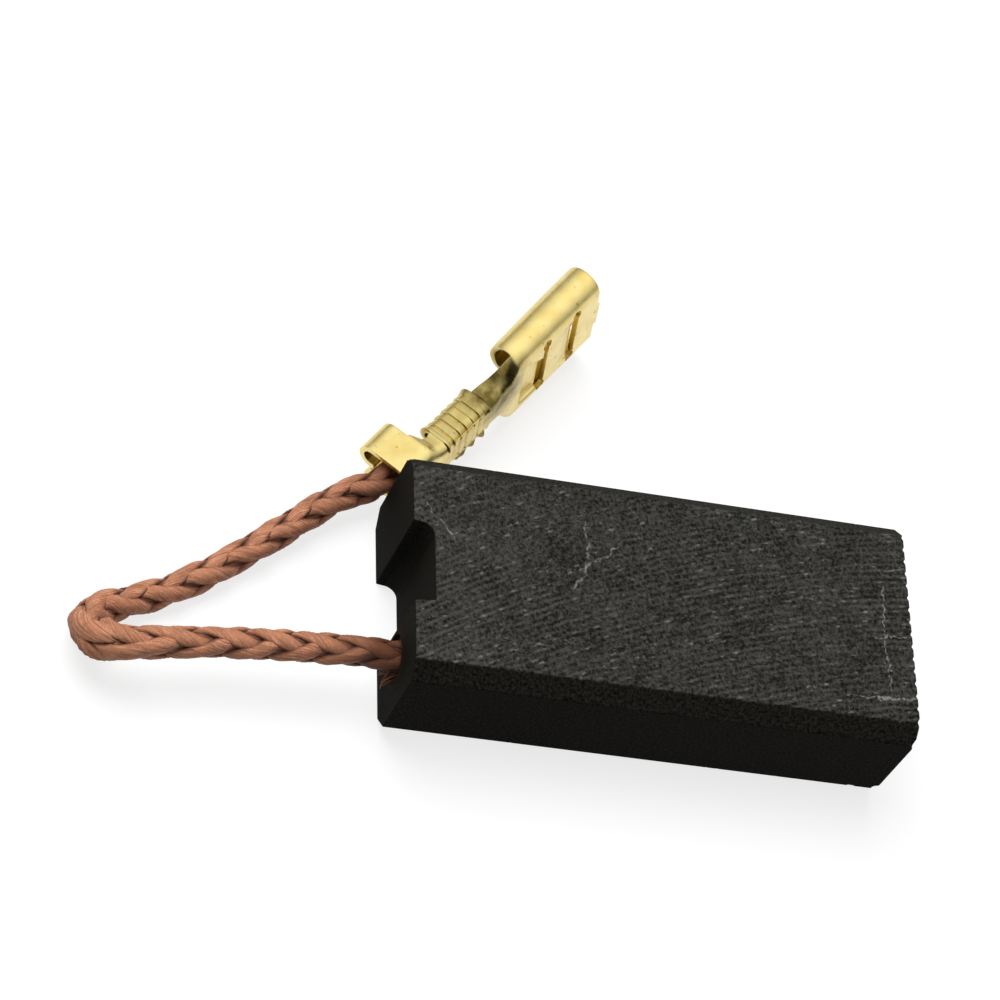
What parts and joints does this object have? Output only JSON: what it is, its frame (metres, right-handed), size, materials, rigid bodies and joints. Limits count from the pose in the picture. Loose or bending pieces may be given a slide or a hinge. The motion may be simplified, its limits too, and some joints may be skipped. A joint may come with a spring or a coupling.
{
  "type": "carbon brush",
  "caption": "Rectangular carbon brush with a spring slot in its rear end, a plaited copper lead tamped into a hole beside the slot, and a crimped brass push-on receptacle on the lead.",
  "frame": {"origin": "middle of the block's underside", "axes": "+X from the slotted end to the contact end, +Y across the width away from the lead's hole, +Z out of the upper big face"},
  "size_m": [0.0536, 0.0328, 0.0085],
  "materials": {
    "carbon": "pressed and ground carbon graphite, matte with fine light specks",
    "copper_powder": "tamped copper powder, dull",
    "copper_braid": "plaited bare copper wire, matte",
    "brass_strip": "bright rolled brass strip"
  },
  "bodies": {
    "root": {"carbon_block": "carbon", "tamped_powder": "copper_powder", "shunt_lead": "copper_braid", "receptacle_terminal": "brass_strip"}
  },
  "joints": []
}
